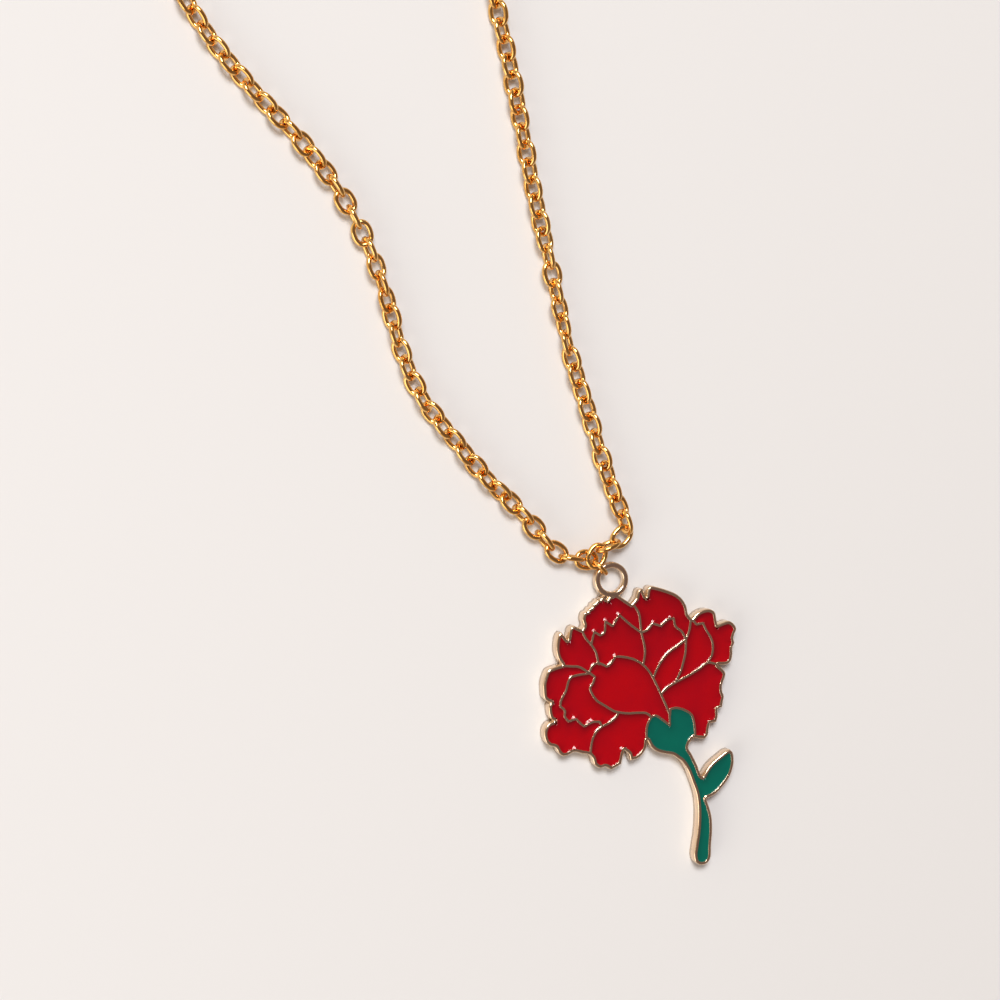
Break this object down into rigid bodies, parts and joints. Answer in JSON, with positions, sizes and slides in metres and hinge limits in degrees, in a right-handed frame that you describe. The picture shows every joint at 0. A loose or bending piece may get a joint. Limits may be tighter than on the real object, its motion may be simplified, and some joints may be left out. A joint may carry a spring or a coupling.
{
  "type": "pendant necklace",
  "caption": "Cable-chain pendant necklace with a flat cloisonne enamel carnation charm on a cast ring, a sprung lobster clasp and an extender chain ending in a small drop.",
  "frame": {"origin": "on the flat back of the charm, under the middle of its flower, with the necklace lying flat", "axes": "+X to the wearer's left seen from the front, +Y from the charm towards the clasp, +Z out of the enamelled front"},
  "size_m": [0.0731, 0.2034, 0.0034],
  "materials": {
    "chain_gold": "polished yellow gold plating",
    "charm_metal": "polished pale champagne gold plating",
    "enamel_red": "glossy crimson enamel, filled to just under the rim",
    "enamel_green": "glossy deep green enamel, filled to just under the rim"
  },
  "bodies": {
    "necklace": {"hanger_link": "chain_gold", "chain_left_01": "chain_gold", "chain_left_02": "chain_gold", "chain_left_03": "chain_gold", "chain_left_04": "chain_gold", "chain_left_05": "chain_gold", "chain_left_06": "chain_gold", "chain_left_07": "chain_gold", "chain_left_08": "chain_gold", "chain_left_09": "chain_gold", "chain_left_10": "chain_gold", "chain_left_11": "chain_gold", "chain_left_12": "chain_gold", "chain_left_13": "chain_gold", "chain_left_14": "chain_gold", "chain_left_15": "chain_gold", "chain_right_01": "chain_gold", "chain_right_02": "chain_gold", "chain_right_03": "chain_gold", "chain_right_04": "chain_gold", "chain_right_05": "chain_gold", "chain_right_06": "chain_gold", "chain_right_07": "chain_gold", "chain_right_08": "chain_gold", "chain_right_09": "chain_gold", "chain_right_10": "chain_gold", "chain_right_11": "chain_gold", "chain_right_12": "chain_gold", "chain_right_13": "chain_gold", "chain_right_14": "chain_gold", "chain_right_15": "chain_gold", "jump_ring_clasp": "chain_gold", "clasp_body": "chain_gold", "clasp_pin": "chain_gold", "jump_ring_extender": "chain_gold", "extender_01": "chain_gold", "extender_02": "chain_gold", "extender_drop": "chain_gold"},
    "charm": {"charm_body": "charm_metal", "petal_top_left": "enamel_red", "petal_top_left_inner": "enamel_red", "petal_top_right": "enamel_red", "petal_top_right_inner": "enamel_red", "petal_centre_right": "enamel_red", "petal_right_inner": "enamel_red", "petal_right_outer": "enamel_red", "petal_lower_right": "enamel_red", "petal_upper_left": "enamel_red", "petal_left_outer": "enamel_red", "petal_left_inner": "enamel_red", "petal_centre": "enamel_red", "petal_bottom": "enamel_red", "calyx_stem_leaf": "enamel_green"},
    "clasp_lever": {"clasp_lever": "chain_gold"}
  },
  "joints": [
    {"name": "charm_swing", "type": "hinge", "parent": "necklace", "child": "charm", "pos_m": [-0.00413, 0.01113, 0.00116], "axis": [0, 0, 1], "range_deg": [-35, 30]},
    {"name": "clasp_lever", "type": "hinge", "parent": "necklace", "child": "clasp_lever", "pos_m": [-0.02321, 0.16132, 0.00092], "axis": [0, 0, 1], "range_deg": [-25, 0], "stiffness_Nm_per_rad": 0.003, "springref_deg": 20.05}
  ]
}
